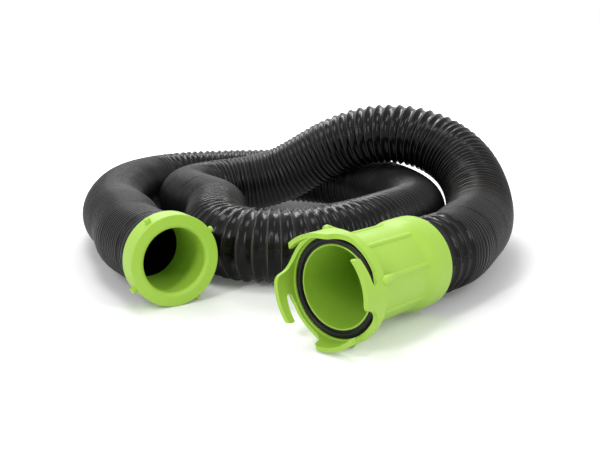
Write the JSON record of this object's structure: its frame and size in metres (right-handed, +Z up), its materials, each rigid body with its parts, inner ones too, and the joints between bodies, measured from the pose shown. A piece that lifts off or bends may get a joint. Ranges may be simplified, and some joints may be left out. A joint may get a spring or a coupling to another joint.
{
  "type": "sewer hose kit",
  "caption": "Ribbed flexible drain hose laid in two loops, with a swivelling hooked bayonet coupler on one end and a swivelling lug fitting on the other.",
  "frame": {"origin": "on the ground, under the middle of the box round the two fittings (the hose is left out)", "axes": "+Z up, +Y away from the open ends of the fittings towards the loops, +X to the right when the open ends are seen from the front"},
  "size_m": [0.6088, 0.7532, 0.1812],
  "materials": {
    "hose_vinyl": "thin glossy black vinyl film, satin where the ribs are pushed together",
    "fitting_plastic": "smooth moulded plastic, lime green, soft gloss",
    "seal_rubber": "smooth black rubber",
    "cuff_rubber": "satin black rubber",
    "ring_steel": "plain spring steel"
  },
  "bodies": {
    "hose_line": {"sewer_hose": "hose_vinyl", "bayonet_sleeve": "fitting_plastic", "bayonet_gasket": "seal_rubber", "bayonet_retaining_ring": "ring_steel", "bayonet_o_ring": "seal_rubber", "lug_sleeve": "fitting_plastic", "lug_o_ring": "seal_rubber", "lug_hose_cuff": "cuff_rubber"},
    "bayonet_swivel": {"bayonet_coupler": "fitting_plastic"},
    "lug_swivel": {"lug_ring": "fitting_plastic", "lug_retaining_ring": "ring_steel"}
  },
  "joints": [
    {"name": "bayonet_turn", "type": "hinge", "parent": "hose_line", "child": "bayonet_swivel", "pos_m": [0.06, -0.068, 0.05815], "axis": [-0.6624, -0.7487, 0.0279], "continuous": true},
    {"name": "lug_turn", "type": "hinge", "parent": "hose_line", "child": "lug_swivel", "pos_m": [-0.1094, 0.0406, 0.05192], "axis": [0.5446, -0.8385, 0.0175], "continuous": true}
  ]
}
